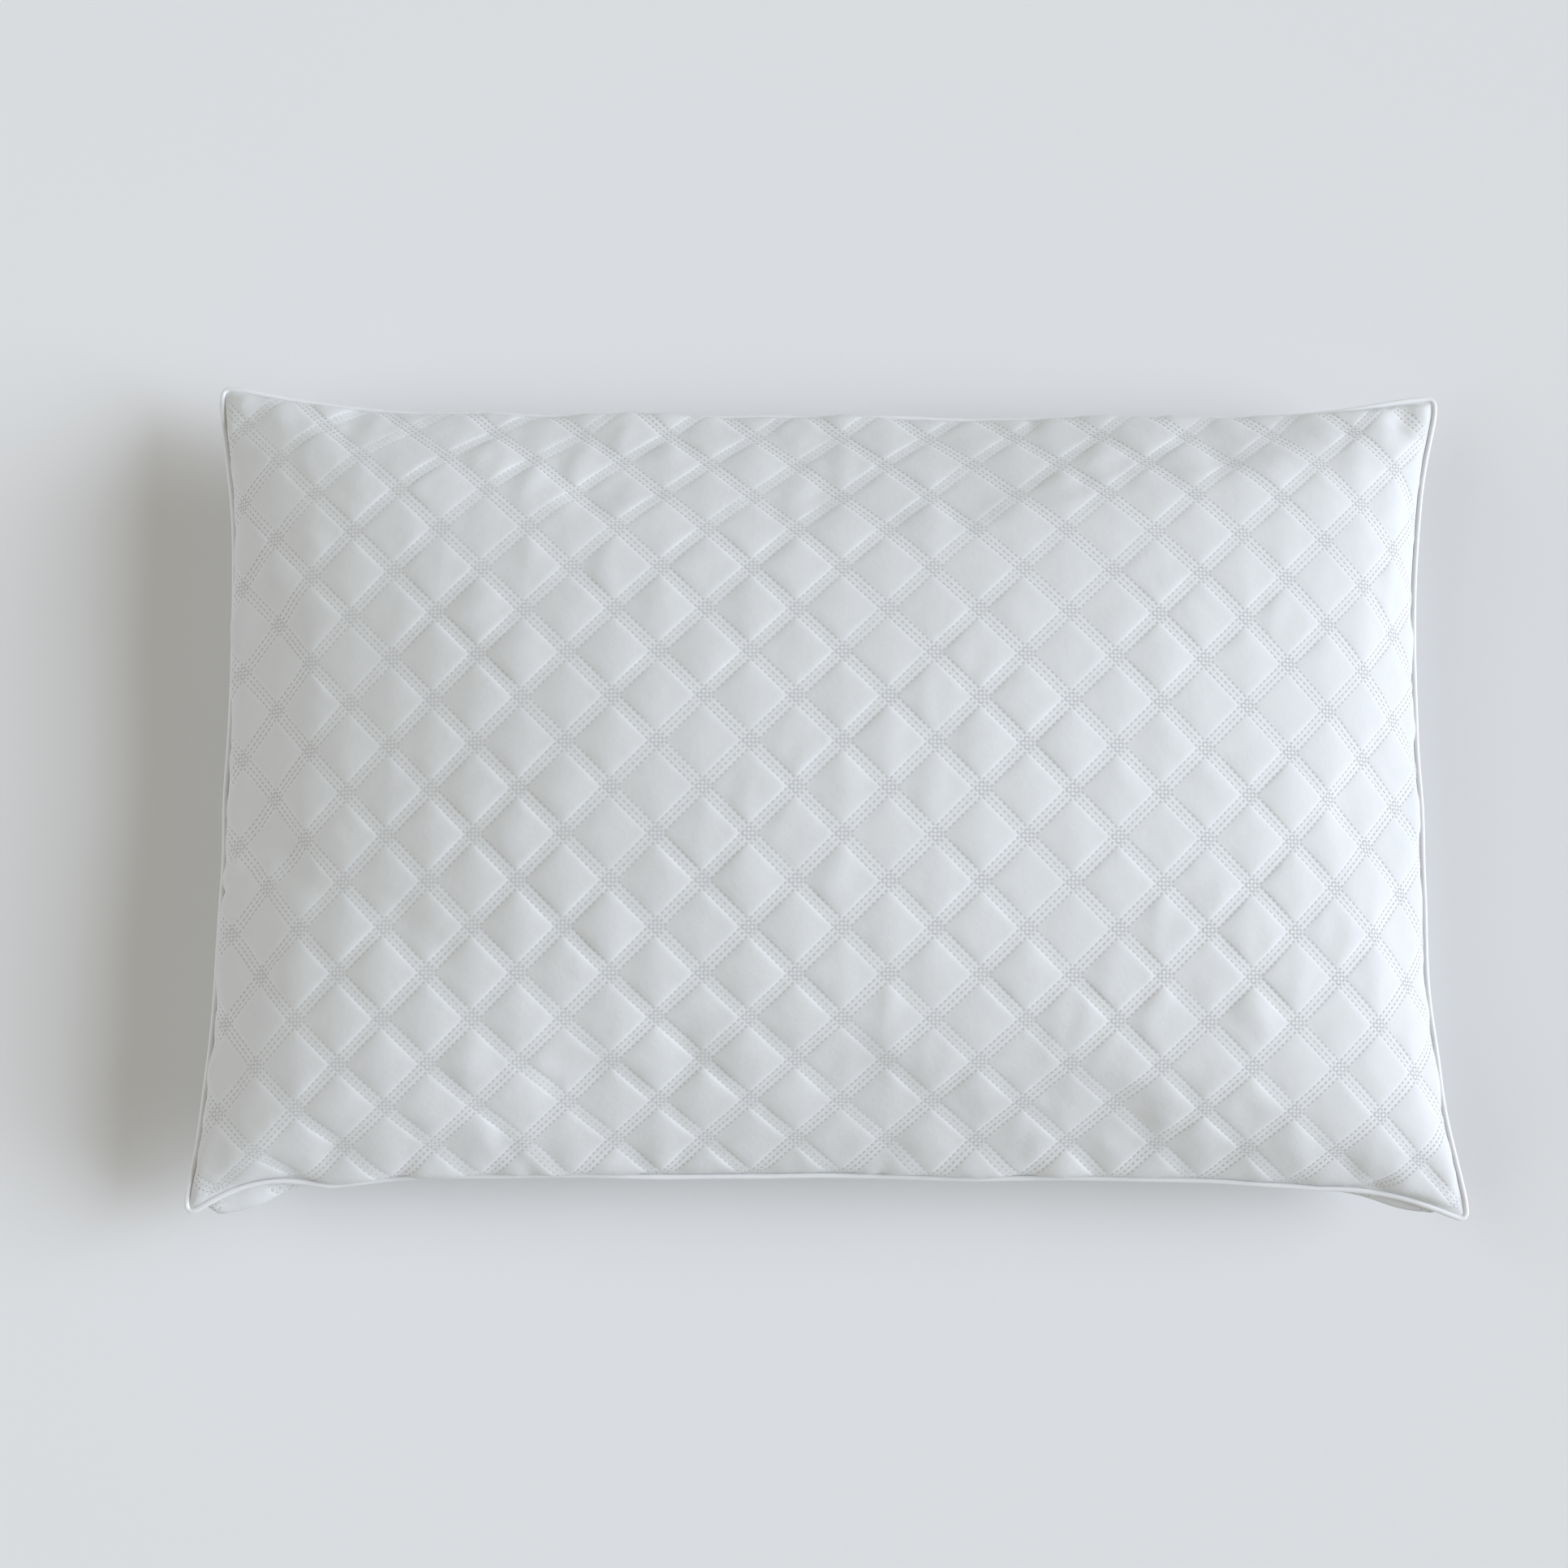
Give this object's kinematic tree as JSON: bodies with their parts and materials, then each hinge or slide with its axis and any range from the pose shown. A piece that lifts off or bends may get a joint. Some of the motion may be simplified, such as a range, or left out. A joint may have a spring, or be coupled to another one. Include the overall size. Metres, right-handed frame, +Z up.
{
  "type": "bed pillow",
  "caption": "Rectangular bed pillow with a fibre fill, quilted in diamonds on both faces and piped round its single seam.",
  "frame": {"origin": "centre of the flat patch that the pillow rests on", "axes": "+X along the length, +Y across the width, +Z up through the crown of the top panel"},
  "size_m": [0.763, 0.5096, 0.143],
  "materials": {
    "face_fabric": "matte",
    "wadding": "matte",
    "backing": "matte",
    "piping_fabric": "satin",
    "piping_cord": "matte",
    "fibre_fill": "matte",
    "sewing_thread": "satin"
  },
  "bodies": {
    "root": {"top_face_fabric": "face_fabric", "top_wadding": "wadding", "top_backing": "backing", "bottom_face_fabric": "face_fabric", "bottom_wadding": "wadding", "bottom_backing": "backing", "piping_sleeve": "piping_fabric", "piping_cord": "piping_cord", "fill_core": "fibre_fill", "perimeter_seam_thread": "sewing_thread", "closing_seam_thread": "sewing_thread"}
  },
  "joints": []
}
